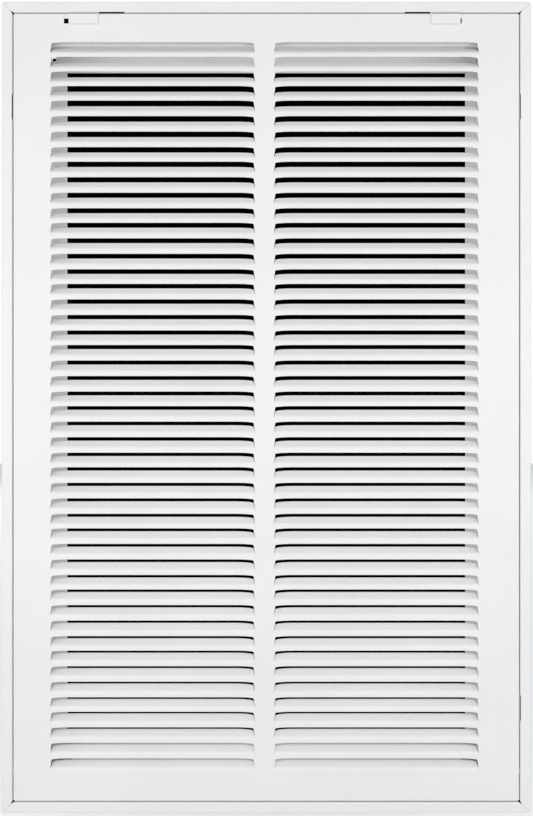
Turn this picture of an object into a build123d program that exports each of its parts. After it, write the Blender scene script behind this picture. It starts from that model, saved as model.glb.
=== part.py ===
from build123d import *
import math
import os

os.makedirs("parts", exist_ok=True)

# Return air filter grille for a wall: a mitred sheet steel frame with a neck that goes into the
# duct opening and holds a flat filter, and a louvred door that is hinged along its lower edge
# and latched along its upper edge.
# Millimetres. X to the right, Y back into the duct, Z up. The origin is the middle of the grille
# on the wall plane, so everything in front of the wall has a negative Y. Section sketches use
# "inward" (from the frame's outer edge) and "forward" (from the wall towards the room).

# Frame
frame_width = 440.0
frame_height = 674.4
frame_sheet = 0.8
face_width = 8.9
face_forward = 10.0
ledge_stand_off = 2.4
neck_inset = 34.0
neck_depth = 32.0
stop_lip_width = 12.9
face_bend = 1.2
ledge_bend = 0.3
neck_bend = 1.0
outer_corner_radius = 2.4
mitre_seam = 0.2
corner_relief_width = 1.0
corner_relief_length = 3.6
lip_relief_radius = 2.2

# Slots and screw holes in the ledge, all of them hidden or in the gap round the door
ledge_slot_length = 21.6
ledge_slot_height = 4.6
ledge_slot_edge = 0.3
side_slot_from_end = 86.8
screw_inset = 24.0
screw_spacing_height = 340.0
screw_hole_radius = 2.5
dimple_foot_radius = 4.4
dimple_patch_margin = 1.0

# Corner joints of the frame
key_leg = 32.0
key_sheet = 1.0
key_edge_clearance = 0.5
clip_leg = 18.0
clip_length = 24.0
clip_sheet = 0.8
rivet_radius = 1.5
rivet_head_radius = 2.8
rivet_head_height = 0.7
rivet_tail_radius = 2.1

# Door
door_gap = 0.8
door_sheet = 0.7
door_fold_depth = 6.0
door_edge_bend = 1.2
door_lower_bend = 2.2
door_corner_notch = 1.0

# Louvres, pressed in strokes of four
upper_border = 24.0
least_lower_border = 24.0
louvres_per_stroke = 4
first_stroke_pitch = 12.1
stroke_pitch = 12.9
between_strokes = 12.1
mullion_width = 15.3
side_border = 31.95
louvres_left_of_middle = 1.5
window_height = 10.2
window_taper = 1.3
window_end_draw = 0.8
window_end_draw_length = 13.0
window_corner = 2.0
blade_angle = 53.5
blade_bend = 4.0
blade_taper = 2.6

# Hinge
hinge_above_edge = 3.2
hinge_behind_face = 3.3
hinge_ear_radius = 3.1
pin_radius = 1.2
pin_running_clearance = 0.05
fixed_clearance = 0.02
pin_reach = 1.4
pin_tip_chamfer = 0.4
pin_head_radius = 2.0
pin_head_height = 1.0
strap_sheet = 1.0
strap_width = 3.8
strap_rivet_up = 21.5
strap_rivet_head_height = 0.5
strap_rivet_head_radius = 2.2

# Latches: their places differ a little from side to side
latch_left_from_edge = 58.5
latch_right_from_edge = 61.3
latch_left_spare = 4.2
latch_right_spare = 1.3
latch_travel = 18.0
tab_length = 24.5
tab_height = 8.4
tab_thickness = 1.6
tab_edge_round = 0.6
tab_below_edge = 0.7
stem_length = 6.0
stem_height = 3.6
stem_above_tab_foot = 0.9
slot_clearance = 0.3
slide_sheet = 1.0
slide_length = 36.6
slide_height = 8.8
slide_clearance = 0.3
hook_width = 10.0
hook_drop = 7.0
hook_clearance = 0.5
hook_slot_depth = 8.8
hook_slot_inset = 2.1
hook_slot_margin = 0.4
hook_slot_overrun = 5.4
hook_slot_spare = 0.5
keeper_width = 10.0
keeper_sheet = 0.8
keeper_foot = 5.0
keeper_from_slide_end = 3.0
keeper_below_hook = 1.2

# Worked out from the sizes above
ledge_front = ledge_stand_off + frame_sheet
neck_inner = neck_inset + frame_sheet
lip_edge = neck_inner + stop_lip_width
riser = face_width
door_width = frame_width - 2 * (riser + door_gap)
door_height = frame_height - 2 * (riser + door_gap)
door_top = door_height / 2
door_back = face_forward - door_sheet
column_width = door_width / 2 - side_border - mullion_width / 2
column_centre = (mullion_width + column_width) / 2
latch_left_x = latch_left_from_edge - door_width / 2
latch_right_x = door_width / 2 - latch_right_from_edge
hinge_z = -door_top + hinge_above_edge
hinge_forward = face_forward - hinge_behind_face

# Cutters only: how far one reaches past what it cuts, and the depth of one that cuts all
overshoot = 1.0
through = 200.0


def block(x0, x1, forward0, forward1, z0, z1):
    """A box between two corners, with its depth given forward of the wall."""
    size = (abs(x1 - x0), abs(forward1 - forward0), abs(z1 - z0))
    centre = ((x0 + x1) / 2, -(forward0 + forward1) / 2, (z0 + z1) / 2)
    return Pos(*centre) * Box(*size)


def rod(radius, x0, x1, forward, z):
    """A cylinder along X."""
    return Pos((x0 + x1) / 2, -forward, z) * Rot(0, 90, 0) * Cylinder(radius, abs(x1 - x0))


def plug(radius, forward0, forward1, x, z):
    """A cylinder along Y."""
    middle = -(forward0 + forward1) / 2
    return Pos(x, middle, z) * Rot(90, 0, 0) * Cylinder(radius, abs(forward1 - forward0))


def folded_sheet(points, radii, thickness):
    """The section of a folded sheet: its show side, thickened to the right of the way it runs."""
    show_side = FilletPolyline(*points, radius=radii)
    return make_face(offset(show_side, thickness, kind=Kind.INTERSECTION, side=Side.RIGHT).edges())


# Frame rails

def rail_section():
    lip_back = ledge_stand_off - neck_depth
    points = [
        (0, 0),
        (0, face_forward),
        (riser, face_forward),
        (riser, ledge_front),
        (neck_inner, ledge_front),
        (neck_inner, lip_back),
        (lip_edge, lip_back),
    ]
    radii = [face_bend, face_bend, ledge_bend, neck_bend, ledge_bend]
    return folded_sheet(points, radii, frame_sheet)


def mitre_outline(length):
    """The rail's outline from the front, with its ends cut at 45 degrees for the seam."""
    reach = lip_edge + overshoot
    end = length / 2 - mitre_seam / math.sqrt(2)
    return Polygon((-end, 0), (-end + reach, -reach), (end - reach, -reach), (end, 0), align=None)


def front_prism(sketch):
    """A sketch drawn as seen from the front, made solid through the whole depth."""
    return extrude(Plane.XZ * sketch, through / 2, both=True)


def rail(length):
    """A rail along X with its outer edge upwards at Z = 0."""
    across = Plane(origin=(0, 0, 0), x_dir=(0, 0, -1), z_dir=(-1, 0, 0))
    strip = extrude(across * rail_section(), length / 2, both=True)
    return strip & front_prism(mitre_outline(length))


def corner_cutters():
    """Reliefs at the four corners: a slit at the door's corner and a hole where neck meets lip."""
    cutters = []
    for side in (-1, 1):
        for end in (-1, 1):
            slit = Box(corner_relief_length, through, corner_relief_width)
            x = side * (frame_width / 2 - riser)
            z = end * (frame_height / 2 - riser)
            cutters.append(Pos(x, 0, z) * Rot(0, -45 * side * end, 0) * slit)
            inset = neck_inner + lip_relief_radius / 2
            x = side * (frame_width / 2 - inset)
            z = end * (frame_height / 2 - inset)
            lip_back = ledge_stand_off - neck_depth
            cutters.append(plug(lip_relief_radius, lip_back - overshoot, lip_back + overshoot, x, z))
    return cutters


def screw_dimple():
    """The pressed seat round a screw hole: it carries the ledge down to the wall."""
    rim = dimple_foot_radius + ledge_stand_off
    patch = rim + dimple_patch_margin
    slant = frame_sheet * math.tan(math.radians(45 / 2))
    outline = Polygon(
        (patch, ledge_front),
        (rim, ledge_front),
        (dimple_foot_radius, frame_sheet),
        (screw_hole_radius, frame_sheet),
        (screw_hole_radius, 0),
        (dimple_foot_radius - slant, 0),
        (rim - slant, ledge_stand_off),
        (patch, ledge_stand_off),
        align=None,
    )
    seat = revolve(Plane.XY * outline, axis=Axis.Y)
    return Rot(180, 0, 0) * seat


def add_dimples(body, side):
    x = side * (frame_width / 2 - screw_inset)
    patch = dimple_foot_radius + ledge_stand_off + dimple_patch_margin
    for end in (-1, 1):
        z = end * screw_spacing_height / 2
        body -= plug(patch, ledge_stand_off - overshoot, ledge_front + overshoot, x, z)
        body += Pos(x, 0, z) * screw_dimple()
    return body


def side_slot(side, end):
    """A slot in a side ledge, close to the riser."""
    outer = frame_width / 2 - riser - ledge_slot_edge
    x0 = side * outer
    x1 = side * (outer - ledge_slot_height)
    middle = end * (frame_height / 2 - side_slot_from_end)
    z0 = middle - ledge_slot_length / 2
    z1 = middle + ledge_slot_length / 2
    return block(x0, x1, ledge_stand_off - overshoot, ledge_front + overshoot, z0, z1)


def hook_slot(centre, inboard):
    """A latch's slot: tall where the hook goes in, narrow where it is locked."""
    top = frame_height / 2 - riser
    narrow0 = centre + inboard * tab_length / 2
    narrow1 = narrow0 + inboard * ledge_slot_length
    upper = top - ledge_slot_edge
    back = ledge_stand_off - overshoot
    front = ledge_front + overshoot
    narrow = block(narrow0, narrow1, back, front, upper - ledge_slot_height, upper)
    outer = centre - inboard * (tab_length / 2 + hook_slot_overrun)
    upper = top - hook_slot_inset
    tall = block(outer, narrow0 + inboard * hook_slot_spare, back, front, upper - hook_slot_depth, upper)
    return [narrow, tall]


def frame_rails():
    outline = front_prism(RectangleRounded(frame_width, frame_height, outer_corner_radius))
    reliefs = corner_cutters()
    top = Pos(0, 0, frame_height / 2) * rail(frame_width)
    top -= hook_slot(latch_left_x, 1) + hook_slot(latch_right_x, -1)
    bottom = Pos(0, 0, -frame_height / 2) * Rot(0, 180, 0) * rail(frame_width)
    left = Pos(-frame_width / 2, 0, 0) * Rot(0, -90, 0) * rail(frame_height)
    right = Pos(frame_width / 2, 0, 0) * Rot(0, 90, 0) * rail(frame_height)
    left -= side_slot(-1, 1)
    right -= [side_slot(1, 1), side_slot(1, -1)]
    hole = pin_radius + pin_running_clearance
    inside = -frame_width / 2 + frame_sheet + overshoot
    hinge_holes = rod(hole, inside, -frame_width / 2 + riser + overshoot, hinge_forward, hinge_z)
    left -= hinge_holes
    right -= mirror(hinge_holes, Plane.YZ)
    left = add_dimples(left, -1)
    right = add_dimples(right, 1)
    left -= clip_rivet_holes()
    right -= clip_rivet_holes()
    top -= clip_rivet_holes()
    bottom -= clip_rivet_holes()
    rails = {"top": top, "bottom": bottom, "left": left, "right": right}
    return {name: (body - reliefs) & outline for name, body in rails.items()}


# Corner keys in the face channel, and clips with rivets inside the neck

def corner_key():
    """An L of flat steel against the back of the face, in the top right corner."""
    outer = frame_sheet + key_edge_clearance
    inner = riser - frame_sheet - key_edge_clearance
    x = frame_width / 2
    z = frame_height / 2
    front = face_forward - frame_sheet
    back = front - key_sheet
    upright = block(x - inner, x - outer, back, front, z - key_leg, z - outer)
    across = block(x - key_leg, x - outer, back, front, z - inner, z - outer)
    return upright + across


def clip_middle():
    return ledge_stand_off - neck_depth / 2


def clip_rivet_places():
    """The two rivets of the top right corner: their places on the neck's inner face, and the wall."""
    x = frame_width / 2 - neck_inner
    z = frame_height / 2 - neck_inner
    along = clip_leg / 2 + clip_sheet
    return [(x, z - along, "side"), (x - along, z, "end")]


def clip_rivet(place):
    """A rivet through the neck wall and the clip inside it."""
    x, z, wall = place
    grip = frame_sheet + clip_sheet
    shank = Cylinder(rivet_radius, grip)
    crown = rivet_head_radius - rivet_head_height
    head = Pos(0, 0, (grip + rivet_head_height) / 2) * Cone(rivet_head_radius, crown, rivet_head_height)
    tail = Pos(0, 0, -(grip + rivet_head_height) / 2) * Cylinder(rivet_tail_radius, rivet_head_height)
    body = shank + head + tail
    offset_out = (frame_sheet - clip_sheet) / 2
    if wall == "side":
        return Pos(x + offset_out, -clip_middle(), z) * Rot(0, 90, 0) * body
    return Pos(x, -clip_middle(), z + offset_out) * body


def clip_rivet_hole(place):
    x, z, wall = place
    hole = Cylinder(rivet_radius + fixed_clearance, 3 * (frame_sheet + clip_sheet))
    if wall == "side":
        return Pos(x, -clip_middle(), z) * Rot(0, 90, 0) * hole
    return Pos(x, -clip_middle(), z) * hole


def four_corners(shape):
    """The shape of the top right corner, mirrored to all four, by name."""
    left = mirror(shape, Plane.YZ)
    return {
        "top_right": shape,
        "top_left": left,
        "bottom_right": mirror(shape, Plane.XY),
        "bottom_left": mirror(left, Plane.XY),
    }


def clip_rivet_holes():
    holes = [clip_rivet_hole(place) for place in clip_rivet_places()]
    return [copy for hole in holes for copy in four_corners(hole).values()]


def neck_clip():
    """A corner angle inside the neck, top right corner."""
    x = frame_width / 2 - neck_inner
    z = frame_height / 2 - neck_inner
    front = clip_middle() + clip_length / 2
    back = clip_middle() - clip_length / 2
    outer = block(x - clip_leg, x, back, front, z - clip_leg, z)
    inner = block(x - clip_leg - overshoot, x - clip_sheet, back - overshoot, front + overshoot,
                  z - clip_leg - overshoot, z - clip_sheet)
    return outer - inner - [clip_rivet_hole(place) for place in clip_rivet_places()]


def neck_rivets():
    rivets = [clip_rivet(place) for place in clip_rivet_places()]
    return Compound([copy for rivet in rivets for copy in four_corners(rivet).values()])


# Door

def rounded_tray(grow, depth):
    """A block as large as the door grown by a margin, with its four front edges rounded."""
    width = door_width + 2 * grow
    height = door_height + 2 * grow
    front = face_forward + grow
    body = block(-width / 2, width / 2, front - depth, front, -height / 2, height / 2)
    front_edges = body.faces().sort_by(Axis.Y)[0].edges().sort_by(Axis.Z)
    body = fillet(front_edges[0], door_lower_bend + grow)
    front_edges = body.faces().sort_by(Axis.Y)[0].edges().sort_by(Axis.Z)
    return fillet(front_edges[1:], door_edge_bend + grow)


def door_tray():
    """The door's sheet with its four edges folded back and the corners notched."""
    tray = rounded_tray(0, door_fold_depth) - rounded_tray(-door_sheet, door_fold_depth + overshoot)
    side = door_width / 2
    beyond = side + overshoot
    back = face_forward - door_fold_depth - overshoot
    front = door_back - door_corner_notch
    notches = []
    for end in (-1, 1):
        z0 = end * (door_top - door_corner_notch)
        z1 = end * (door_top + overshoot)
        notch = block(side - door_corner_notch, beyond, back, front, z0, z1)
        notches += [notch, mirror(notch, Plane.YZ)]
    swing = block(-beyond, beyond, back, hinge_forward, -door_top - overshoot, hinge_z)
    swing -= rod(hinge_ear_radius, -beyond - overshoot, beyond + overshoot, hinge_forward, hinge_z)
    return tray - notches - swing


def stroke_count():
    """As many strokes as the door has room for: the first is shorter and the last ends at a bend."""
    steps = louvres_per_stroke - 1
    first = steps * first_stroke_pitch + between_strokes
    middle = steps * stroke_pitch + between_strokes
    last = steps * stroke_pitch + window_height
    room = door_height - upper_border - least_lower_border
    return 2 + math.floor((room - first - last) / middle)


def slit_tops():
    """The upper edge of each louvre's window, from the top down."""
    tops = []
    z = door_top - upper_border
    for stroke in range(stroke_count()):
        pitch = first_stroke_pitch if stroke == 0 else stroke_pitch
        for louvre in range(louvres_per_stroke):
            tops.append(z)
            z -= pitch if louvre < louvres_per_stroke - 1 else between_strokes
    return tops


def window():
    """One louvre's window in the sheet: wider at the bend, with its upper edge at Z = 0 and drawn
    down towards its ends."""
    wide = column_width / 2
    narrow = wide - window_taper
    clip = window_corner
    draw = window_end_draw
    right = [(narrow - window_end_draw_length, 0), (narrow - clip, -draw), (narrow, -draw - clip / 2),
             (wide, -window_height)]
    left = [(-x, z) for x, z in reversed(right)]
    return Polygon(*right, *left, align=None)


def blade():
    """The lanced flap of one window, bent back from the sheet, with its bend line at Z = 0."""
    turn = math.radians(blade_angle)
    tangent = blade_bend * math.tan(turn / 2)
    straight = window_height - blade_bend * turn
    overlap = 0.5
    tip = (tangent + (tangent + straight) * math.cos(turn),
           face_forward - (tangent + straight) * math.sin(turn))
    section = folded_sheet([(-overlap, face_forward), (tangent, face_forward), tip], blade_bend, door_sheet)
    across = Plane(origin=(0, 0, 0), x_dir=(0, 0, 1), z_dir=(1, 0, 0))
    strip = extrude(across * section, column_width / 2, both=True)
    half = column_width / 2
    narrow = half - blade_taper
    beyond = tip[0] + overshoot
    outline = Polygon((-half, -overlap), (-half, 0), (-narrow, tip[0]), (-narrow, beyond),
                      (narrow, beyond), (narrow, tip[0]), (half, 0), (half, -overlap), align=None)
    return strip & front_prism(outline)


def latch_slots():
    """The slot in the door's face for each latch's stem."""
    z = stem_middle()
    half = stem_height / 2 + slot_clearance
    slots = []
    for centre, inboard, spare in latch_places():
        outer = centre - inboard * (tab_length / 2 + spare)
        inner = centre - inboard * (tab_length / 2 - stem_length - latch_travel - slot_clearance)
        back = door_back - overshoot
        slots.append(block(outer, inner, back, face_forward + overshoot, z - half, z + half))
    return slots


def hinge_holes_in_door():
    """Holes for the pin and the strap's rivet in the left side fold."""
    x0 = -door_width / 2 - overshoot
    x1 = -door_width / 2 + door_sheet + overshoot
    pin = rod(pin_radius + fixed_clearance, x0, x1, hinge_forward, hinge_z)
    rivet = rod(rivet_radius + fixed_clearance, x0, x1, hinge_forward, hinge_z + strap_rivet_up)
    return [pin, rivet]


def door_panel():
    columns = (-louvres_left_of_middle - column_centre, column_centre - louvres_left_of_middle)
    places = [(x, z) for x in columns for z in slit_tops()]
    windows = Sketch() + [Pos(x, z) * window() for x, z in places]
    holes = hinge_holes_in_door()
    holes += [mirror(hole, Plane.YZ) for hole in holes]
    sheet = door_tray() - front_prism(windows) - holes - latch_slots()
    flap = blade()
    flaps = [Pos(x, 0, z - window_height) * flap for x, z in places]
    return sheet + flaps


# Hinge

def hinge_strap():
    """The strap inside the left fold that backs the pin and is riveted above it."""
    x0 = -door_width / 2 + door_sheet
    x1 = x0 + strap_sheet
    half = strap_width / 2
    top = hinge_z + strap_rivet_up
    bar = block(x0, x1, hinge_forward - half, hinge_forward + half, hinge_z, top)
    bar += [rod(half, x0, x1, hinge_forward, hinge_z), rod(half, x0, x1, hinge_forward, top)]
    hole_ends = (x0 - overshoot, x1 + overshoot)
    pin = rod(pin_radius + fixed_clearance, *hole_ends, hinge_forward, hinge_z)
    return bar - pin - rod(rivet_radius + fixed_clearance, *hole_ends, hinge_forward, top)


def hinge_pin():
    """The left pin: fixed in the door, it turns in the riser of the frame."""
    tip = -frame_width / 2 + riser - frame_sheet - pin_reach
    seat = -door_width / 2 + door_sheet + strap_sheet
    shank = rod(pin_radius, tip, seat + pin_head_height / 2, hinge_forward, hinge_z)
    shank = chamfer(shank.edges().filter_by(GeomType.CIRCLE).sort_by(Axis.X)[0], pin_tip_chamfer)
    return shank + rod(pin_head_radius, seat, seat + pin_head_height, hinge_forward, hinge_z)


def hinge_rivet():
    """The rivet that holds the left strap, with a low head in the gap beside the door."""
    z = hinge_z + strap_rivet_up
    outer = -door_width / 2
    inner = outer + door_sheet + strap_sheet
    shank = rod(rivet_radius, outer, inner, hinge_forward, z)
    low_head = rod(strap_rivet_head_radius, outer - strap_rivet_head_height, outer, hinge_forward, z)
    tail = rod(rivet_tail_radius, inner, inner + rivet_head_height, hinge_forward, z)
    return shank + low_head + tail


# Latches

def latch_places():
    """Each latch's middle, the way inboard from it, and its spare travel outboard."""
    return [(latch_left_x, 1, latch_left_spare), (latch_right_x, -1, latch_right_spare)]


def stem_middle():
    """The height of the middle of the stems and of the face slots."""
    return door_top - tab_below_edge - tab_height + stem_above_tab_foot + stem_height / 2


def latch_tab(centre, inboard):
    """The thumb tab in front of the door, with the stem that goes through the face slot."""
    top = door_top - tab_below_edge
    gap = slide_clearance
    plate = block(centre - tab_length / 2, centre + tab_length / 2, face_forward + gap,
                  face_forward + gap + tab_thickness, top - tab_height, top)
    plate = fillet(plate.faces().sort_by(Axis.Y)[0].edges(), tab_edge_round)
    outer = centre - inboard * tab_length / 2
    z = stem_middle()
    stem = block(outer, outer + inboard * stem_length, door_back - slide_clearance,
                 face_forward + gap, z - stem_height / 2, z + stem_height / 2)
    x = outer + inboard * stem_length / 2
    hole = plug(rivet_radius + fixed_clearance, door_back - overshoot, face_forward, x, z)
    return plate + stem - hole


def slide_front():
    return door_back - slide_clearance


def slide_top():
    return frame_height / 2 - riser - hook_slot_inset - hook_slot_margin


def latch_slide(centre, inboard):
    """The plate behind the door's face, with a hook bent back from its upper edge."""
    top = slide_top()
    front = slide_front()
    back = front - slide_sheet
    outer = centre - inboard * tab_length / 2
    plate = block(outer, outer + inboard * slide_length, back, front, top - slide_height, top)
    foot_front = ledge_stand_off - hook_clearance
    foot_back = foot_front - slide_sheet
    x0 = centre - hook_width / 2
    x1 = centre + hook_width / 2
    leg = block(x0, x1, foot_back, front, top - slide_sheet, top)
    foot = block(x0, x1, foot_back, foot_front, top - hook_drop, top)
    hole = plug(rivet_radius + fixed_clearance, back - overshoot, front + overshoot,
                outer + inboard * stem_length / 2, stem_middle())
    return plate + leg + foot - hole


def latch_rivet(centre, inboard):
    """The rivet that joins the slide to the stem of the tab."""
    x = centre - inboard * (tab_length / 2 - stem_length / 2)
    z = stem_middle()
    back = slide_front() - slide_sheet
    shank = plug(rivet_radius, back, face_forward - slide_clearance, x, z)
    return shank + plug(rivet_tail_radius, back - rivet_head_height, back, x, z)


def latch_keeper(centre, inboard):
    """The clip welded behind the face that holds the inboard end of the slide."""
    end = centre + inboard * (slide_length - tab_length / 2 - keeper_from_slide_end)
    x0 = end - inboard * keeper_width
    behind = slide_front() - slide_sheet - slide_clearance
    step = slide_top() - slide_height - slide_clearance
    foot = block(x0, end, door_back - keeper_sheet, door_back, step - keeper_foot, step)
    riser_wall = block(x0, end, behind - keeper_sheet, door_back, step - keeper_sheet, step)
    tongue_top = slide_top() - slide_sheet - keeper_below_hook
    tongue = block(x0, end, behind - keeper_sheet, behind, step - keeper_sheet, tongue_top)
    return foot + riser_wall + tongue


# Write the parts

def export(name, shape):
    export_step(shape, f"parts/{name}.step")


def main():
    for name, body in frame_rails().items():
        export(f"frame_{name}_rail", body)
    for corner, body in four_corners(corner_key()).items():
        export(f"corner_key_{corner}", body)
    for corner, body in four_corners(neck_clip()).items():
        export(f"neck_clip_{corner}", body)
    export("neck_rivets", neck_rivets())
    export("door_panel", door_panel())
    for name, shape in (("hinge_strap", hinge_strap()), ("hinge_pin", hinge_pin())):
        export(f"{name}_left", shape)
        export(f"{name}_right", mirror(shape, Plane.YZ))
    export("hinge_rivets", Compound([hinge_rivet(), mirror(hinge_rivet(), Plane.YZ)]))
    for side, (centre, inboard, spare) in zip(("left", "right"), latch_places()):
        export(f"latch_tab_{side}", latch_tab(centre, inboard))
        export(f"latch_slide_{side}", latch_slide(centre, inboard))
        export(f"latch_rivet_{side}", latch_rivet(centre, inboard))
        export(f"latch_keeper_{side}", latch_keeper(centre, inboard))


main()
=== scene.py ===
import math

import bmesh
import bpy
from bpy.props import (FloatProperty, FloatVectorProperty, IntProperty, PointerProperty,
                       StringProperty)
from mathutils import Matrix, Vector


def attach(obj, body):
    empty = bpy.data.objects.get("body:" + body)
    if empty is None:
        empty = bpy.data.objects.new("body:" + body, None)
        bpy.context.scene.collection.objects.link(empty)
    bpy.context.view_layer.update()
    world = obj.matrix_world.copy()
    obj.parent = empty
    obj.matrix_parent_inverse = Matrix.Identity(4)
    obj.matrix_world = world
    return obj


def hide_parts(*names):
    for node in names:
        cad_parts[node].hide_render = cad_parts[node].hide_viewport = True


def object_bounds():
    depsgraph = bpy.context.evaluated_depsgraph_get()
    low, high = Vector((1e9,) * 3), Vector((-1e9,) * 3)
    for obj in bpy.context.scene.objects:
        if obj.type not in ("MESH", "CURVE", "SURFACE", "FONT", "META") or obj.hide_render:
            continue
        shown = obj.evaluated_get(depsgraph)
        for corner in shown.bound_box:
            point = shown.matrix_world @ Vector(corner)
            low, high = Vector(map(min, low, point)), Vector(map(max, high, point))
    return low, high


bl_info = {
    "name": "Return Air Filter Grille",
    "version": (1, 0, 0),
    "blender": (4, 5, 0),
    "location": "View3D > Sidebar > Grille",
    "description": "Dresses a wall grille with a louvred, hinged door that holds an air filter",
    "category": "Add Mesh",
}

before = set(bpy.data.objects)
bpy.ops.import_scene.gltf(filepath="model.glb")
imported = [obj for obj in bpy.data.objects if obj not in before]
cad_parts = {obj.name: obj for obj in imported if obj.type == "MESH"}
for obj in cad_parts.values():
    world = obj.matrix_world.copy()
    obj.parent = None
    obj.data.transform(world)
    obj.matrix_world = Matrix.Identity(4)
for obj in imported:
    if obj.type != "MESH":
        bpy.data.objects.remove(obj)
cad_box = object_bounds()

# Metres. X to the right, Y back into the duct, Z up. The wall is the plane Y = 0.

MERGE = 1e-6  # points closer than this are one point
NEAR = 2e-5  # points closer than this lie on one line
HUNDREDTHS = 1e5  # hundredths of a millimetre in a metre
FLAT = math.radians(0.2)  # faces that meet flatter than this are one face
FOLD = math.radians(60)  # edges that turn more than this are folds
CORNER_SCORES = (0.35, 1.0)  # where a window's corner is scored, as shares of its radius
DRAW_SCORES = (0.35, 0.62, 1.0)  # where a slit's drawn end is scored, as shares of its length


# Materials

def linear(hex_colour):
    """A colour written as sRGB hex, as the linear RGBA that a shader takes."""
    parts = [int(hex_colour[i:i + 2], 16) / 255 for i in (1, 3, 5)]
    return (*(p / 12.92 if p <= 0.04045 else ((p + 0.055) / 1.055) ** 2.4 for p in parts), 1)


def add_node(tree, kind, settings=None, values=None, links=None):
    """Adds a node with its settings, the values of its sockets and the links into them."""
    made = tree.nodes.new(kind)
    for name, value in (settings or {}).items():
        setattr(made, name, value)
    for name, value in (values or {}).items():
        made.inputs[name].default_value = value
    for name, source in (links or {}).items():
        tree.links.new(source, made.inputs[name])
    return made


def new_material(name):
    """An empty material with a node tree, and that tree."""
    made = bpy.data.materials.new(name)
    made.use_nodes = True
    made.node_tree.nodes.clear()
    return made, made.node_tree


def surface(tree, mottle, tones, gloss, roughness, kind, relief=None):
    """What the finishes share: two tones and a gloss that drift, each with its own pattern.

    The tones are places on the mottle with their hex colours, the roughness is its least and
    most, kind holds the shader's fixed values, and the relief is strength, depth and pattern.
    """
    ramp = add_node(tree, "ShaderNodeValToRGB", links={"Fac": mottle})
    for stop, (place, hex_colour) in zip(ramp.color_ramp.elements, tones):
        stop.position = place
        stop.color = linear(hex_colour)
    rough = add_node(tree, "ShaderNodeMapRange",
                     values={"To Min": roughness[0], "To Max": roughness[1]},
                     links={"Value": gloss})
    links = {"Base Color": ramp.outputs["Color"], "Roughness": rough.outputs["Result"]}
    if relief:
        strength, depth, height = relief
        bump = add_node(tree, "ShaderNodeBump", values={"Strength": strength, "Distance": depth},
                        links={"Height": height})
        links["Normal"] = bump.outputs["Normal"]
    shader = add_node(tree, "ShaderNodeBsdfPrincipled", values=kind, links=links)
    add_node(tree, "ShaderNodeOutputMaterial", links={"Surface": shader.outputs[0]})


def powder_coat(name):
    """White polyester powder coat baked on steel sheet: satin, with a fine orange peel."""
    sizes = bpy.context.scene.grille_finish
    made, tree = new_material(name)
    place = add_node(tree, "ShaderNodeTexCoord").outputs["Object"]
    peel = add_node(tree, "ShaderNodeTexNoise",
                    values={"Scale": 1 / sizes.peel_width, "Detail": 2.0},
                    links={"Vector": place}).outputs["Fac"]
    clouds = add_node(tree, "ShaderNodeTexNoise",
                      values={"Scale": 1 / sizes.cloud_width, "Detail": 3.0},
                      links={"Vector": place}).outputs["Fac"]
    surface(tree, clouds, [(0.35, sizes.enamel_shade), (0.65, sizes.enamel_light)],
            peel, sizes.coat_roughness, {"IOR": 1.5}, (0.25, sizes.peel_depth, peel))
    return made


def galvanised_sheet():
    """Hot dipped zinc on steel sheet: dull grey crystals, each with its own tone and gloss."""
    sizes = bpy.context.scene.grille_finish
    made, tree = new_material("galvanised_steel_sheet")
    place = add_node(tree, "ShaderNodeTexCoord").outputs["Object"]
    crystals = add_node(tree, "ShaderNodeTexVoronoi", values={"Scale": 1 / sizes.spangle_width},
                        links={"Vector": place}).outputs["Color"]
    grain = add_node(tree, "ShaderNodeTexNoise",
                     values={"Scale": 1 / sizes.zinc_grain, "Detail": 4.0},
                     links={"Vector": place}).outputs["Fac"]
    surface(tree, crystals, [(0.1, sizes.zinc_dark), (0.9, sizes.zinc_light)],
            crystals, sizes.zinc_roughness, {"Metallic": 1.0}, (0.3, sizes.zinc_depth, grain))
    return made


def drawn_wire():
    """Plain steel wire for the pins: drawn, so its faint scratches run along it."""
    sizes = bpy.context.scene.grille_finish
    made, tree = new_material("drawn_steel_wire")
    place = add_node(tree, "ShaderNodeTexCoord").outputs["Object"]
    along = add_node(tree, "ShaderNodeMapping", values={"Scale": (0.05, 1.0, 1.0)},
                     links={"Vector": place}).outputs["Vector"]
    scratches = add_node(tree, "ShaderNodeTexNoise",
                         values={"Scale": 1 / sizes.scratch_width, "Detail": 5.0},
                         links={"Vector": along}).outputs["Fac"]
    surface(tree, scratches, [(0.3, sizes.steel_dark), (0.7, sizes.steel_light)],
            scratches, sizes.steel_roughness, {"Metallic": 1.0})
    return made


def headed_aluminium():
    """Cold headed aluminium for the rivets: bright, with a soft grain from the heading tool."""
    sizes = bpy.context.scene.grille_finish
    made, tree = new_material("headed_aluminium")
    place = add_node(tree, "ShaderNodeTexCoord").outputs["Object"]
    grain = add_node(tree, "ShaderNodeTexNoise",
                     values={"Scale": 1 / sizes.scratch_width, "Detail": 3.0},
                     links={"Vector": place}).outputs["Fac"]
    surface(tree, grain, [(0.3, sizes.alloy_dark), (0.7, sizes.alloy_light)],
            grain, sizes.alloy_roughness, {"Metallic": 1.0})
    return made


def coat_nodes(material, names):
    """Gives CAD nodes a material in place of their packed one."""
    for name in names:
        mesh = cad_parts[name].data
        mesh.materials.clear()
        mesh.materials.append(material)


def nodes_starting(*starts):
    return [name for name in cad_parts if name.startswith(starts)]


# Hand tools

def begin(primitive, **where):
    """Adds a primitive with nothing else selected and opens it for editing."""
    bpy.ops.object.select_all(action="DESELECT")
    primitive(**where)
    bpy.ops.object.mode_set(mode="EDIT")


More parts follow.
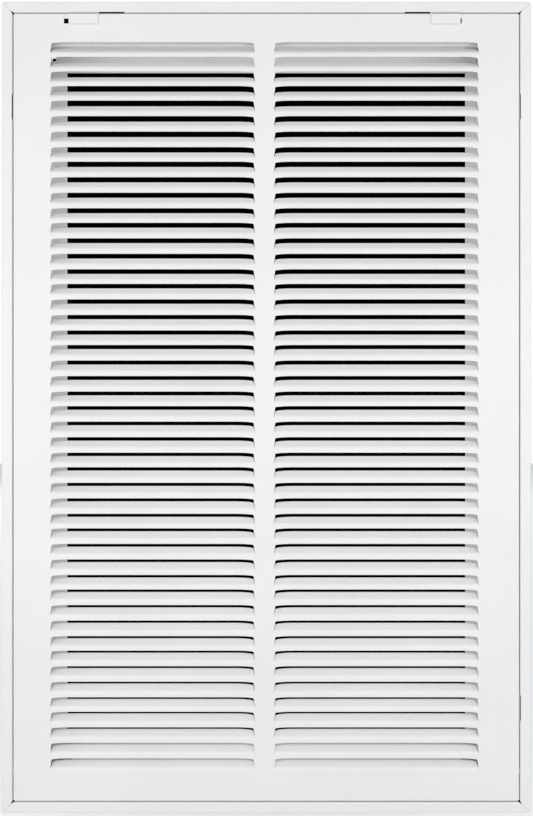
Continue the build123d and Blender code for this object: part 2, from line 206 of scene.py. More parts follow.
def pick(kind, wanted):
    """Selects the verts, edges or faces of the open mesh that pass a test."""
    bpy.ops.mesh.select_mode(type={"verts": "VERT", "edges": "EDGE", "faces": "FACE"}[kind])
    bpy.ops.mesh.select_all(action="DESELECT")
    mesh = bmesh.from_edit_mesh(bpy.context.object.data)
    found = [item for item in getattr(mesh, kind) if wanted(item)]
    if not found:
        raise RuntimeError("nothing of this kind lies where the next cut or bend starts")
    for item in found:
        item.select_set(True)
    mesh.select_flush_mode()
    bmesh.update_edit_mesh(bpy.context.object.data)


def cut(place, normal, **more):
    """Cuts the selected faces of the open mesh along a plane."""
    bpy.ops.mesh.bisect(plane_co=place, plane_no=normal, threshold=MERGE, **more)


def cut_all(place, normal, **more):
    """Cuts the whole open mesh along a plane."""
    bpy.ops.mesh.select_all(action="SELECT")
    cut(place, normal, **more)


def level(length):
    """A length as a whole number of hundredths of a millimetre, to compare places."""
    return round(length * HUNDREDTHS)


def finish_piece(name, material, body, replaced):
    """Closes the open mesh: applies its modifiers, smooths its bends and joins it to its body."""
    bpy.ops.object.mode_set(mode="OBJECT")
    piece = bpy.context.object
    for modifier in list(piece.modifiers):
        bpy.ops.object.modifier_apply(modifier=modifier.name)
    piece.name = name
    piece.data.name = name
    piece.data.materials.clear()
    piece.data.materials.append(material)
    bpy.ops.object.transform_apply(location=True, rotation=True, scale=True)
    bpy.ops.object.shade_smooth_by_angle(angle=bpy.context.scene.grille_finish.smooth_angle)
    weigh = piece.modifiers.new("even_flats", "WEIGHTED_NORMAL")
    weigh.keep_sharp = True
    bpy.ops.object.modifier_apply(modifier=weigh.name)
    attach(piece, body)
    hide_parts(*replaced)
    return piece


# Sizes and colours

class GrilleFinish(bpy.types.PropertyGroup):
    enamel_light: StringProperty(name="Enamel light", default="#F1F1F1",
                                 description="Powder coat, lighter tone, sRGB hex")
    enamel_shade: StringProperty(name="Enamel shade", default="#EEEEEF",
                                 description="Powder coat, darker tone, sRGB hex")
    coat_roughness: FloatVectorProperty(name="Coat roughness", size=2, default=(0.38, 0.5),
                                        description="Least and most roughness of the powder coat")
    peel_width: FloatProperty(name="Orange peel width", default=0.0016, unit="LENGTH",
                              description="Width of one wave of the powder coat")
    peel_depth: FloatProperty(name="Orange peel depth", default=0.00003, unit="LENGTH",
                              precision=6, description="Depth of the powder coat's waves")
    cloud_width: FloatProperty(name="Tone width", default=0.09, unit="LENGTH",
                               description="Width over which the coat's tone drifts")
    zinc_light: StringProperty(name="Zinc light", default="#C3C7CA",
                               description="Galvanised sheet, light crystals, sRGB hex")
    zinc_dark: StringProperty(name="Zinc dark", default="#9BA0A4",
                              description="Galvanised sheet, dark crystals, sRGB hex")
    zinc_roughness: FloatVectorProperty(name="Zinc roughness", size=2, default=(0.32, 0.52),
                                        description="Least and most roughness of the zinc")
    spangle_width: FloatProperty(name="Spangle width", default=0.006, unit="LENGTH",
                                 description="Width of one zinc crystal")
    zinc_grain: FloatProperty(name="Zinc grain", default=0.0006, unit="LENGTH", precision=5,
                              description="Width of the zinc's fine grain")
    zinc_depth: FloatProperty(name="Zinc grain depth", default=0.00003, unit="LENGTH",
                              precision=6, description="Depth of the zinc's fine grain")
    steel_light: StringProperty(name="Steel light", default="#BDBEC0",
                                description="Pins, lighter tone, sRGB hex")
    steel_dark: StringProperty(name="Steel dark", default="#98999C",
                               description="Pins, darker tone, sRGB hex")
    steel_roughness: FloatVectorProperty(name="Steel roughness", size=2, default=(0.24, 0.4),
                                         description="Least and most roughness of the pins")
    alloy_light: StringProperty(name="Aluminium light", default="#DCDDDE",
                                description="Rivets, lighter tone, sRGB hex")
    alloy_dark: StringProperty(name="Aluminium dark", default="#C4C5C7",
                               description="Rivets, darker tone, sRGB hex")
    alloy_roughness: FloatVectorProperty(name="Aluminium roughness", size=2, default=(0.3, 0.42),
                                         description="Least and most roughness of the rivets")
    # Real scratches are too fine to show, so these are drawn coarser.
    scratch_width: FloatProperty(name="Scratch width", default=0.0003, unit="LENGTH",
                                 precision=5, description="Spacing of the scratches on steel")
    smooth_angle: FloatProperty(name="Smooth angle", default=math.radians(35), subtype="ANGLE",
                                description="Faces that meet flatter than this are smoothed")


class GrilleFrame(bpy.types.PropertyGroup):
    riser_half_width: FloatProperty(name="Side riser", default=0.2115, unit="LENGTH", precision=5,
                                    description="From the middle to the side rails' risers")
    riser_half_height: FloatProperty(name="Top riser", default=0.3287, unit="LENGTH", precision=5,
                                     description="From the middle to the top rail's riser")
    slot_length: FloatProperty(name="Slot length", default=0.0216, unit="LENGTH", precision=5,
                               description="Length of a slot along the riser")
    slot_ends: FloatVectorProperty(name="Slot depths", size=2, default=(-0.0097, -0.0042),
                                   unit="LENGTH",
                                   description="Front and back of a slot, from the wall")
    top_slots: FloatVectorProperty(name="Top slots", size=2, default=(-0.12875, 0.12595),
                                   unit="LENGTH", description="Middles of the top rail's slots")
    side_slot: FloatProperty(name="Side slots", default=0.2504, unit="LENGTH", precision=5,
                             description="Middles of the side rails' slots, up or down")
    corner_opening: FloatProperty(name="Corner opening", default=0.0034, unit="LENGTH",
                                  precision=5,
                                  description="Side of the opening where two risers meet")
    opening_ends: FloatVectorProperty(name="Opening depths", size=2, default=(-0.0091, -0.002),
                                      unit="LENGTH",
                                      description="Front and back of a corner opening")
    punch: FloatProperty(name="Punch", default=0.002, unit="LENGTH", precision=5,
                         description="Thickness of the punch that passes through the riser")


class GrilleDoor(bpy.types.PropertyGroup):
    width: FloatProperty(name="Width", default=0.4206, unit="LENGTH",
                         description="Door, outside its side folds")
    height: FloatProperty(name="Height", default=0.655, unit="LENGTH",
                          description="Door, outside its top and bottom folds")
    face_forward: FloatProperty(name="Face forward", default=0.010, unit="LENGTH",
                                description="From the wall to the door's face")
    sheet: FloatProperty(name="Sheet", default=0.0007, unit="LENGTH", precision=5,
                         description="Thickness of the door's steel")
    fold_depth: FloatProperty(name="Fold depth", default=0.006, unit="LENGTH",
                              description="From the face to the edge of the folds")
    edge_bend: FloatProperty(name="Edge bend", default=0.0012, unit="LENGTH", precision=5,
                             description="Size of the side and top bends")
    edge_bend_steps: IntProperty(name="Edge bend steps", default=5, min=2,
                                 description="Faces round a side or top bend")
    lower_bend: FloatProperty(name="Lower bend", default=0.0017, unit="LENGTH", precision=5,
                              description="Size of the bend above the hinge")
    lower_bend_steps: IntProperty(name="Lower bend steps", default=6, min=2,
                                  description="Faces round the bend above the hinge")
    upper_border: FloatProperty(name="Upper border", default=0.024, unit="LENGTH",
                                description="From the door's top to the first slit")
    strokes: IntProperty(name="Strokes", default=12, min=1,
                         description="Strokes of the louvre press")
    louvres_per_stroke: IntProperty(name="Louvres per stroke", default=4, min=1,
                                    description="Louvres pressed at once")
    first_pitch: FloatProperty(name="First pitch", default=0.0121, unit="LENGTH", precision=5,
                               description="Louvre spacing in the first stroke")
    pitch: FloatProperty(name="Pitch", default=0.0129, unit="LENGTH", precision=5,
                         description="Louvre spacing in the other strokes")
    between_strokes: FloatProperty(name="Between strokes", default=0.0121, unit="LENGTH",
                                   precision=5, description="Spacing from stroke to stroke")
    column_spacing: FloatProperty(name="Column spacing", default=0.186, unit="LENGTH",
                                  description="Between the middles of the columns")
    left_of_middle: FloatProperty(name="Left of middle", default=0.0015, unit="LENGTH",
                                  precision=5, description="The columns' shift to the left")
    column_width: FloatProperty(name="Column width", default=0.1707, unit="LENGTH", precision=5,
                                description="A louvre's width at its bend")
    window_height: FloatProperty(name="Window height", default=0.0102, unit="LENGTH",
                                 precision=5, description="From a louvre's bend to its slit")
    window_taper: FloatProperty(name="Window taper", default=0.0013, unit="LENGTH", precision=5,
                                description="How much narrower a window's end is at the slit")
    end_draw: FloatProperty(name="End draw", default=0.0008, unit="LENGTH", precision=5,
                            description="How far the slit dips at its ends")
    end_draw_length: FloatProperty(name="End draw length", default=0.013, unit="LENGTH",
                                   description="Over what length the slit dips")
    corner: FloatProperty(name="Window corner", default=0.001, unit="LENGTH", precision=5,
                          description="Radius of the window's upper corners")
    blade_angle: FloatProperty(name="Blade angle", default=math.radians(53.5), subtype="ANGLE",
                               description="How far a blade is bent back")
    blade_bend: FloatProperty(name="Blade bend", default=0.004, unit="LENGTH", precision=5,
                              description="Radius of a blade's bend")
    blade_bend_steps: IntProperty(name="Blade bend steps", default=6, min=2,
                                  description="Faces round a blade's bend")
    blade_taper: FloatProperty(name="Blade taper", default=0.0016, unit="LENGTH", precision=5,
                               description="How much narrower a blade's end is at its tip")
    tip_trim: FloatProperty(name="Tip trim", default=1.4,
                            description="How much a tip is short, in dips of the slit above it")
    corner_clip: FloatProperty(name="Corner clip", default=0.0015, unit="LENGTH", precision=5,
                               description="Length cut off the edges at the door's corners")
    slot_height: FloatProperty(name="Latch slot height", default=0.0042, unit="LENGTH",
                               precision=5, description="Height of the slots for the latches")
    slot_middle: FloatProperty(name="Latch slot middle", default=0.3211, unit="LENGTH",
                               precision=5, description="Height of the slots above the middle")
    left_slot: FloatVectorProperty(name="Left slot", size=2, default=(-0.16825, -0.13975),
                                   unit="LENGTH", description="Ends of the left latch slot")
    right_slot: FloatVectorProperty(name="Right slot", size=2, default=(0.13695, 0.16255),
                                    unit="LENGTH", description="Ends of the right latch slot")


class GrilleStage(bpy.types.PropertyGroup):
    camera_distance: FloatProperty(name="Camera distance", default=0.95, unit="LENGTH",
                                   description="From the lens to the grille's face")
    camera_right: FloatProperty(name="Camera right", default=0.0002, unit="LENGTH", precision=5,
                                description="From the grille's middle right to the lens")
    camera_up: FloatProperty(name="Camera up", default=-0.0005, unit="LENGTH", precision=5,
                             description="From the grille's middle up to the lens")
    view_height: FloatProperty(name="View height", default=0.678, unit="LENGTH",
                               description="Height of the picture at the grille's face")
    face_forward: FloatProperty(name="Face forward", default=0.010, unit="LENGTH",
                                description="From the wall to the grille's face")
    floor_size: FloatProperty(name="Floor size", default=14.0, unit="LENGTH",
                              description="Side of the pale floor")
    floor_below: FloatProperty(name="Floor below", default=0.05, unit="LENGTH",
                               description="From the grille down to the floor, for the open door")
    floor_colour: StringProperty(name="Floor colour", default="#EDEDED",
                                 description="Pale floor, sRGB hex")
    floor_lift: FloatProperty(name="Floor lift", default=0.3,
                              description="How much paler the camera sees the floor")
    # Painted shade: the black that the camera sees through the louvres, where the duct only lies
    # in shade.
    painted_shade_colour: StringProperty(name="Duct colour", default="#010101",
                                description="Dark air behind the louvres, sRGB hex")
    duct_width: FloatProperty(name="Duct width", default=0.3704, unit="LENGTH",
                              description="Width inside the frame's neck")
    duct_height: FloatProperty(name="Duct height", default=0.6048, unit="LENGTH",
                               description="Height inside the frame's neck")
    # Painted shade: depth of the black sheet in the duct.
    duct_end: FloatProperty(name="Duct end", default=0.0312, unit="LENGTH",
                            description="From the wall back to where the dark starts")
    neck_width: FloatProperty(name="Neck width", default=0.3722, unit="LENGTH",
                              description="Width outside the frame's neck")
    neck_height: FloatProperty(name="Neck height", default=0.6066, unit="LENGTH",
                               description="Height outside the frame's neck")
    flange_width: FloatProperty(name="Flange width", default=0.4378, unit="LENGTH",
                                description="Width inside the frame's outer flange")
    flange_height: FloatProperty(name="Flange height", default=0.6722, unit="LENGTH",
                                 description="Height inside the frame's outer flange")
    # Painted shade: depth of the black ring behind the frame's ledge.
    wall_painted_shade_depth: FloatProperty(name="Wall dark", default=-0.0005, unit="LENGTH", precision=5,
                             description="From the wall to the dark behind the ledge")
    sky_level: FloatProperty(name="Room light", default=0.40,
                             description="Strength of the even light of the room")
    key_level: FloatProperty(name="Key light", default=72.0, subtype="POWER",
                             description="Power of the large light in front")
    key_place: FloatVectorProperty(name="Key place", size=3, default=(0.0, -5.4, 2.2),
                                   unit="LENGTH", description="Middle of the large light")
    key_size: FloatVectorProperty(name="Key size", size=2, default=(5.0, 3.6), unit="LENGTH",
                                  description="Width and height of the large light")
    fill_level: FloatProperty(name="Fill light", default=2.0, subtype="POWER",
                              description="Power of the near light in front")
    fill_place: FloatVectorProperty(name="Fill place", size=3, default=(0.0, -1.15, 0.03),
                                    unit="LENGTH", description="Middle of the near light")
    fill_size: FloatVectorProperty(name="Fill size", size=2, default=(0.9, 0.45), unit="LENGTH",
                                   description="Width and height of the near light")
    back_level: FloatProperty(name="Back light", default=60.0, subtype="POWER",
                              description="Power of the light behind the grille")
    back_place: FloatVectorProperty(name="Back place", size=3, default=(-1.2, 4.0, 2.4),
                                    unit="LENGTH", description="Middle of the light behind")
    back_size: FloatVectorProperty(name="Back size", size=2, default=(4.0, 3.0), unit="LENGTH",
                                   description="Width and height of the light behind")
    side_level: FloatProperty(name="Side lights", default=0.9, subtype="POWER",
                              description="Power of each light at the side")
    side_place: FloatVectorProperty(name="Side place", size=3, default=(0.6, -0.46, 0.05),
                                    unit="LENGTH", description="Middle of the light on the right")
    side_size: FloatVectorProperty(name="Side size", size=2, default=(0.3, 0.4), unit="LENGTH",
                                   description="Width and height of a light at the side")


# The frame's steel

class GRILLE_OT_frame(bpy.types.Operator):
    """Punch the slots in the rails' risers and powder coat the four mitred rails"""
    bl_idname = "grille.frame"
    bl_label = "Frame"

    def execute(self, context):
        coat = powder_coat("powder_coat_frame")
        coat_nodes(coat, nodes_starting("frame_"))
        punches = self.punches(context.scene.grille_frame)
        for side in ("top", "bottom", "left", "right"):
            self.punch_rail(f"{side}_rail_sheet", f"frame_{side}_rail", punches, coat)
        bpy.data.objects.remove(punches)
        return {"FINISHED"}

    def punches(self, sizes):
        """The punches for the slots and for the open corners of the risers, as one mesh."""
        side, top, slot = sizes.riser_half_width, sizes.riser_half_height, sizes.side_slot
        along, through, opening = sizes.slot_length, sizes.punch, sizes.corner_opening
        places = [(x, top, along, through, sizes.slot_ends) for x in sizes.top_slots]
        places += [(x, z, through, along, sizes.slot_ends)
                   for x, z in ((-side, slot), (side, slot), (side, -slot))]
        places += [(x, z, opening, opening, sizes.opening_ends)
                   for x in (-side, side) for z in (-top, top)]
        bpy.ops.object.select_all(action="DESELECT")
        for x, z, width, height, (front, back) in places:
            # After the first, each cube is added in edit mode, so it joins the same mesh.
            middle = (x, (front + back) / 2, z)
            bpy.ops.mesh.primitive_cube_add(size=1, location=middle)
            bpy.ops.object.mode_set(mode="EDIT")
            bpy.ops.transform.resize(value=(width, back - front, height), center_override=middle)
        bpy.ops.object.mode_set(mode="OBJECT")
        return bpy.context.object

    def punch_rail(self, name, node, punches, coat):
        """Punches a copy of one rail, which then stands for it."""
        rail = bpy.data.objects.new(name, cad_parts[node].data.copy())
        bpy.context.collection.objects.link(rail)
        bpy.ops.object.select_all(action="DESELECT")
        rail.select_set(True)
        bpy.context.view_layer.objects.active = rail
        bpy.ops.mesh.customdata_custom_splitnormals_clear()
        bpy.ops.object.mode_set(mode="EDIT")
        bpy.ops.mesh.select_all(action="SELECT")
        bpy.ops.mesh.remove_doubles(threshold=MERGE)
        bpy.ops.mesh.dissolve_limited(angle_limit=FLAT)
        bpy.ops.mesh.select_all(action="DESELECT")
        hole = rail.modifiers.new("punched", "BOOLEAN")
        hole.operation = "DIFFERENCE"
        hole.solver = "EXACT"
        hole.object = punches
        finish_piece(name, coat, "frame", [node])


# Keys, clips, pins, slides and rivets

class GRILLE_OT_fittings(bpy.types.Operator):
    """Finish the zinc, steel and aluminium fittings"""
    bl_idname = "grille.fittings"
    bl_label = "Fittings"

    def execute(self, context):
        coat_nodes(galvanised_sheet(), nodes_starting("corner_key", "neck_clip", "hinge_strap",
                                                      "latch_slide", "latch_keeper"))
        coat_nodes(drawn_wire(), nodes_starting("hinge_pin"))
        coat_nodes(headed_aluminium(), nodes_starting("neck_rivets", "latch_rivet"))
        return {"FINISHED"}


# The door's steel

class GRILLE_OT_door(bpy.types.Operator):
    """Make the louvred door from a flat sheet, as the press does"""
    bl_idname = "grille.door"
    bl_label = "Door"

    def execute(self, context):
        sizes = context.scene.grille_door
        self.front = -sizes.face_forward
        self.slits = self.slit_tops(sizes)
        self.bends = [z - sizes.window_height for z in self.slits]
        middle = sizes.column_spacing / 2
        self.columns = [-middle - sizes.left_of_middle, middle - sizes.left_of_middle]
        self.steps = [0, *self.end_scores(sizes)]
        self.blank(sizes)
        self.score(sizes)
        self.draw_ends(sizes)
        self.open_windows(sizes)
        self.bend_blades(sizes)
        self.trim_tips(sizes)
        self.cut_latch_slots(sizes)
        self.fold_edges(sizes)
        sheet = bpy.context.object.modifiers.new("sheet", "SOLIDIFY")
        sheet.thickness = sizes.sheet
        sheet.offset = -1
        sheet.use_even_offset = True
        coat = powder_coat("powder_coat_door")
        finish_piece("door_sheet", coat, "door", ["door_panel"])
        coat_nodes(coat, nodes_starting("latch_tab", "hinge_rivets"))
        return {"FINISHED"}

    def slit_tops(self, sizes):
        """The height of each louvre's slit, from the top down."""
        tops = []
        z = sizes.height / 2 - sizes.upper_border
        for stroke in range(sizes.strokes):
            pitch = sizes.first_pitch if stroke == 0 else sizes.pitch
            for louvre in range(sizes.louvres_per_stroke):
                tops.append(z)
                z -= pitch if louvre < sizes.louvres_per_stroke - 1 else sizes.between_strokes
        return tops

    def end_scores(self, sizes):
        """How far in from a window's end the sheet is scored, so that the slit can dip there."""
        near = [share * sizes.corner for share in CORNER_SCORES]
        far = [share * sizes.end_draw_length for share in DRAW_SCORES]
        return [sizes.window_taper + length for length in near + far]

    def end_lines(self, sizes):
        """Every scored line near a window's end: its column, side, step in, and place."""
        for column in self.columns:
            for side in (-1, 1):
                for step in self.steps:
                    yield column, side, step, column + side * (sizes.column_width / 2 - step)

    def dip(self, step, sizes):
        """How far the slit dips on the line that is scored this far in from the window's end."""
        inset = max(0, step - sizes.window_taper)
        slow = max(0, 1 - inset / sizes.end_draw_length) ** 2
        quick = max(0, 1 - inset / sizes.corner) ** 2
        return sizes.end_draw * slow + sizes.corner / 2 * quick

    def in_window(self, x, sizes):
        half = sizes.column_width / 2 + MERGE
        return any(abs(x - column) < half for column in self.columns)

    def at_depth(self, vert, back):
        """Whether a vert lies this far behind the sheet's front."""
        return abs(vert.co.y - self.front - back) < NEAR

    def blade_line(self, sizes):
        """A blade's side view, as steps back and up from its bend line to its tip."""
        turn, radius = sizes.blade_angle, sizes.blade_bend
        arc = [turn * (step + 1) / sizes.blade_bend_steps
               for step in range(sizes.blade_bend_steps)]
        line = [(0.0, 0.0)] + [(radius * (1 - math.cos(a)), radius * math.sin(a)) for a in arc]
        straight = sizes.window_height - radius * turn
        back, up = line[-1]
        line.append((back + straight * math.sin(turn), up + straight * math.cos(turn)))
        return line

    def blank(self, sizes):
        """Lays out the flat sheet."""
        place = (0, self.front, 0)
        begin(bpy.ops.mesh.primitive_plane_add, size=1, location=place,
              rotation=(math.pi / 2, 0, 0))
        bpy.ops.transform.resize(value=(sizes.width, 1, sizes.height), center_override=place)
        bpy.ops.object.mode_set(mode="OBJECT")
        bpy.ops.object.transform_apply(location=True, rotation=True, scale=True)
        bpy.ops.object.mode_set(mode="EDIT")

    def score(self, sizes):
        """Marks every slit, bend and window end across the sheet."""
        for z in self.slits + self.bends:
            cut_all((0, 0, z), (0, 0, 1))
        for column, side, step, x in self.end_lines(sizes):
            cut_all((x, 0, 0), (1, 0, 0))

    def draw_ends(self, sizes):
        """Narrows each window at its slit and dips the slit's ends."""
        slits = {level(z) for z in self.slits}
        for column, side, step, x in self.end_lines(sizes):
            pick("verts", lambda v: level(v.co.z) in slits and abs(v.co.x - x) < NEAR)
            aside = -side * sizes.window_taper if step == 0 else 0
            bpy.ops.transform.translate(value=(aside, 0, -self.dip(step, sizes)))

    def open_windows(self, sizes):
        """Takes out the metal that the blades are bent from."""
        spans = list(zip(self.bends, self.slits))

        def inside(face):
            middle = face.calc_center_median()
            return self.in_window(middle.x, sizes) and any(a < middle.z < b for a, b in spans)

        pick("faces", inside)
        bpy.ops.mesh.delete(type="ONLY_FACE")

    def bend_blades(self, sizes):
        """Draws the blades out of their bend lines, round the bend and on to the tip."""
        half = sizes.column_width / 2
        bends = {level(z) for z in self.bends}
        line = self.blade_line(sizes)
        tip_rise = line[-1][1]
        pick("edges", lambda e: all(level(v.co.z) in bends for v in e.verts)
             and self.in_window(sum(v.co.x for v in e.verts) / 2, sizes))
        for (back0, up0), (back1, up1) in zip(line, line[1:]):
            bpy.ops.mesh.extrude_region_move(
                TRANSFORM_OT_translate={"value": (0, back1 - back0, up1 - up0)})
            present, wanted = (half - sizes.blade_taper * up / tip_rise for up in (up0, up1))
            for column in self.columns:
                pick("verts", lambda v: self.at_depth(v, back1)
                     and abs(v.co.x - column) < half + MERGE)
                bpy.ops.transform.resize(value=(wanted / present, 1, 1),
                                         center_override=(column, 0, 0))
            pick("edges", lambda e: all(self.at_depth(v, back1) for v in e.verts))

    def trim_tips(self, sizes):
        """Shortens the blades towards their ends, as the dipping cut leaves them."""
        half = sizes.column_width / 2
        shrink = (half - sizes.blade_taper) / half
        tip = self.blade_line(sizes)[-1][0]
        turn = sizes.blade_angle
        for column, side, step, x in self.end_lines(sizes):
            tip_x = column + (x - column) * shrink
            short = sizes.tip_trim * self.dip(step, sizes)
            pick("verts", lambda v: self.at_depth(v, tip) and abs(v.co.x - tip_x) < NEAR)
            bpy.ops.transform.translate(
                value=(0, -short * math.sin(turn), -short * math.cos(turn)))

    def cut_latch_slots(self, sizes):
        """Pierces the two slots that the latches' tabs slide in."""
        lower = sizes.slot_middle - sizes.slot_height / 2
        upper = sizes.slot_middle + sizes.slot_height / 2
        above = self.slits[0] - sizes.window_height / 2

        def on_border(face):
            return min(v.co.z for v in face.verts) > above

        def in_slot(face):
            middle = face.calc_center_median()
            return lower < middle.z < upper and any(
                slot[0] < middle.x < slot[1] for slot in (sizes.left_slot, sizes.right_slot))

        for z in (lower, upper):
            pick("faces", on_border)
            cut((0, 0, z), (0, 0, 1))
        for x in (*sizes.left_slot, *sizes.right_slot):
            pick("faces", on_border)
            cut((x, 0, 0), (1, 0, 0))
        pick("faces", in_slot)
        bpy.ops.mesh.delete(type="FACE")

    def fold_edges(self, sizes):
        """Folds the four edges back, widest above the hinge, and clips the corners."""
        side = sizes.width / 2 - MERGE
        top = sizes.height / 2 - MERGE

        def outer(edge):
            xs = [v.co.x for v in edge.verts]
            zs = [v.co.z for v in edge.verts]
            return min(xs) > side or max(xs) < -side or min(zs) > top or max(zs) < -top

        pick("edges", outer)
        bpy.ops.mesh.extrude_region_move(
            TRANSFORM_OT_translate={"value": (0, sizes.fold_depth, 0)})
        pick("edges", lambda e: all(v.co.z < -top and v.co.y < self.front + MERGE
                                    for v in e.verts))
        bpy.ops.mesh.bevel(offset=sizes.lower_bend, segments=sizes.lower_bend_steps,
                           affect="EDGES", clamp_overlap=False)
        pick("edges", lambda e: len(e.link_faces) == 2 and e.calc_face_angle() > FOLD)
        bpy.ops.mesh.bevel(offset=sizes.edge_bend, segments=sizes.edge_bend_steps,
                           affect="EDGES", clamp_overlap=False)
        for x in (-1, 1):
            for z in (-1, 1):
                corner = (x * (sizes.width / 2 - sizes.corner_clip), 0, z * sizes.height / 2)
                cut_all(corner, (x, 0, z), clear_outer=True)


# Floor, painted shade in the duct, lights and camera

class GRILLE_OT_stage(bpy.types.Operator):
    """Add the floor, the painted shade in the duct, the lights and the camera"""
    bl_idname = "grille.stage"
    bl_label = "Stage"

    def execute(self, context):
        stage = context.scene.grille_stage
        self.floor(stage)
        self.duct(stage)
        self.room(context, stage)
        self.lights(stage)
        self.camera(context, stage)
        context.scene.view_settings.view_transform = "Standard"
        return {"FINISHED"}

    def floor(self, stage):
        """A pale floor that takes shadows and looks a little paler to the camera."""
        height = cad_box[0].z - stage.floor_below
        bpy.ops.mesh.primitive_plane_add(size=stage.floor_size, location=(0, 0, height))
        floor = bpy.context.object
        floor.name = "pale_floor"
        made, tree = new_material("pale_floor")
        seen = add_node(tree, "ShaderNodeLightPath").outputs["Is Camera Ray"]
        paper = add_node(tree, "ShaderNodeBsdfDiffuse",
                         values={"Color": linear(stage.floor_colour)})
        lift = add_node(tree, "ShaderNodeEmission",
                        values={"Color": (*[stage.floor_lift] * 3, 1)},
                        links={"Strength": seen})
        both = add_node(tree, "ShaderNodeAddShader",
                        links={0: paper.outputs[0], 1: lift.outputs[0]})
        add_node(tree, "ShaderNodeOutputMaterial", links={"Surface": both.outputs[0]})
        floor.data.materials.append(made)

    def duct(self, stage):
        """Painted shade: a black sheet back in the duct behind the door, and a black ring at the
        wall behind the frame's ledge, where the real ones lie only in shade.
        """
        shade = self.unlit(stage)
        # Painted shade: a black sheet across the duct, seen through the louvres.
        self.painted_shade_plane("dark_duct", stage.duct_end, stage.duct_width, stage.duct_height, shade)
        bpy.ops.object.mode_set(mode="OBJECT")
        # Painted shade: a black ring at the wall, between the neck and the outer flange.
        self.painted_shade_plane("dark_wall", stage.wall_painted_shade_depth, stage.flange_width, stage.flange_height,
                        shade)
        for side in (-0.5, 0.5):
            cut_all((side * stage.neck_width, 0, 0), (1, 0, 0))
            cut_all((0, 0, side * stage.neck_height), (0, 0, 1))
        pick("faces", lambda f: f.calc_center_median().length < stage.neck_width / 4)
        bpy.ops.mesh.delete(type="FACE")
        bpy.ops.object.mode_set(mode="OBJECT")

    def painted_shade_plane(self, name, back, width, height, shade):
        """Adds an upright plane of painted shade and leaves it open for editing."""
        place = (0, back, 0)
        begin(bpy.ops.mesh.primitive_plane_add, size=1, location=place,
              rotation=(math.pi / 2, 0, 0))
        bpy.ops.transform.resize(value=(width, 1, height), center_override=place)
        dark = bpy.context.object
        dark.name = name
        dark.data.materials.append(shade)

    def unlit(self, stage):
        """Painted shade: black only to camera rays that meet it from the room, so that the back
        stays open to eye and light.
        """
        made, tree = new_material("unlit_duct")
        seen = add_node(tree, "ShaderNodeLightPath").outputs["Is Camera Ray"]
        behind = add_node(tree, "ShaderNodeNewGeometry").outputs["Backfacing"]
        front = add_node(tree, "ShaderNodeMath", settings={"operation": "GREATER_THAN"},
                         links={0: seen, 1: behind})
        clear = add_node(tree, "ShaderNodeBsdfTransparent")
        # Painted shade: a black emission where the duct and the wall only lie in shade.
        black = add_node(tree, "ShaderNodeEmission", values={"Color": linear(stage.painted_shade_colour)})
        mixed = add_node(tree, "ShaderNodeMixShader",
                         links={0: front.outputs[0], 1: clear.outputs[0], 2: black.outputs[0]})
        add_node(tree, "ShaderNodeOutputMaterial", links={"Surface": mixed.outputs[0]})
        return made

    def room(self, context, stage):
        """An even white room, white to the camera and in gloss, and dimmer as a light."""
        world = bpy.data.worlds.new("white_room")
        world.use_nodes = True
        context.scene.world = world
        tree = world.node_tree
        tree.nodes.clear()
        rays = add_node(tree, "ShaderNodeLightPath").outputs
        plain = add_node(tree, "ShaderNodeMath", settings={"operation": "MAXIMUM"},
                         links={0: rays["Is Camera Ray"], 1: rays["Is Glossy Ray"]})
        plain = add_node(tree, "ShaderNodeMath", settings={"operation": "MAXIMUM"},
                         links={0: plain.outputs[0], 1: rays["Is Transmission Ray"]})
        strength = add_node(tree, "ShaderNodeMapRange",
                            values={"To Min": stage.sky_level, "To Max": 1.0},
                            links={"Value": plain.outputs[0]})
        light = add_node(tree, "ShaderNodeBackground", values={"Color": (1, 1, 1, 1)},
                         links={"Strength": strength.outputs["Result"]})
        add_node(tree, "ShaderNodeOutputWorld", links={"Surface": light.outputs[0]})

    def lights(self, stage):
        right = stage.side_place
        left = (-right[0], right[1], right[2])
        for name, place, size, power in (
                ("key_light", stage.key_place, stage.key_size, stage.key_level),
                ("fill_light", stage.fill_place, stage.fill_size, stage.fill_level),
                ("back_light", stage.back_place, stage.back_size, stage.back_level),
                ("right_light", right, stage.side_size, stage.side_level),
                ("left_light", left, stage.side_size, stage.side_level)):
            self.soft_light(name, place, size, power)

    def soft_light(self, name, place, size, power):
        """A flat light that faces the grille's middle."""
        bpy.ops.object.light_add(type="AREA", location=place)
        light = bpy.context.object
        light.name = name
        light.visible_camera = False
        light.data.shape = "RECTANGLE"
        light.data.size, light.data.size_y = size
        light.data.energy = power
        light.rotation_euler = (-light.location).to_track_quat("-Z", "Y").to_euler()

    def camera(self, context, stage):
        lens = bpy.data.cameras.new("front_camera")
        lens.lens = lens.sensor_width * stage.camera_distance / stage.view_height
        camera = bpy.data.objects.new("front_camera", lens)
        context.collection.objects.link(camera)
        camera.location = (stage.camera_right, -stage.face_forward - stage.camera_distance,
                           stage.camera_up)
        camera.rotation_euler = (math.pi / 2, 0, 0)
        context.scene.camera = camera


# Add-on

class GRILLE_PT_panel(bpy.types.Panel):
    bl_idname = "GRILLE_PT_panel"
    bl_label = "Return Air Filter Grille"
    bl_space_type = "VIEW_3D"
    bl_region_type = "UI"
    bl_category = "Grille"

    def draw(self, context):
        for operator in OPERATORS:
            self.layout.operator(operator.bl_idname)


GROUPS = {"grille_finish": GrilleFinish, "grille_frame": GrilleFrame, "grille_door": GrilleDoor,
          "grille_stage": GrilleStage}
OPERATORS = (GRILLE_OT_frame, GRILLE_OT_fittings, GRILLE_OT_door, GRILLE_OT_stage)


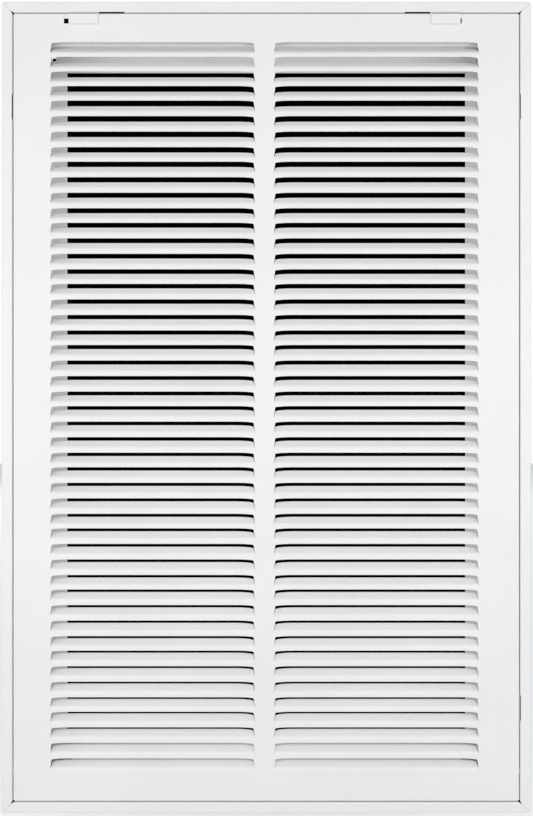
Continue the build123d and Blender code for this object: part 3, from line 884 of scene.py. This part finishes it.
def register():
    for item in (*GROUPS.values(), *OPERATORS, GRILLE_PT_panel):
        bpy.utils.register_class(item)
    for name, group in GROUPS.items():
        setattr(bpy.types.Scene, name, PointerProperty(type=group))


def unregister():
    for name in GROUPS:
        delattr(bpy.types.Scene, name)
    for item in (GRILLE_PT_panel, *reversed(OPERATORS), *GROUPS.values()):
        bpy.utils.unregister_class(item)


def main():
    register()
    bpy.ops.grille.frame()
    bpy.ops.grille.fittings()
    bpy.ops.grille.door()
    bpy.ops.grille.stage()


if __name__ == "__main__":
    main()
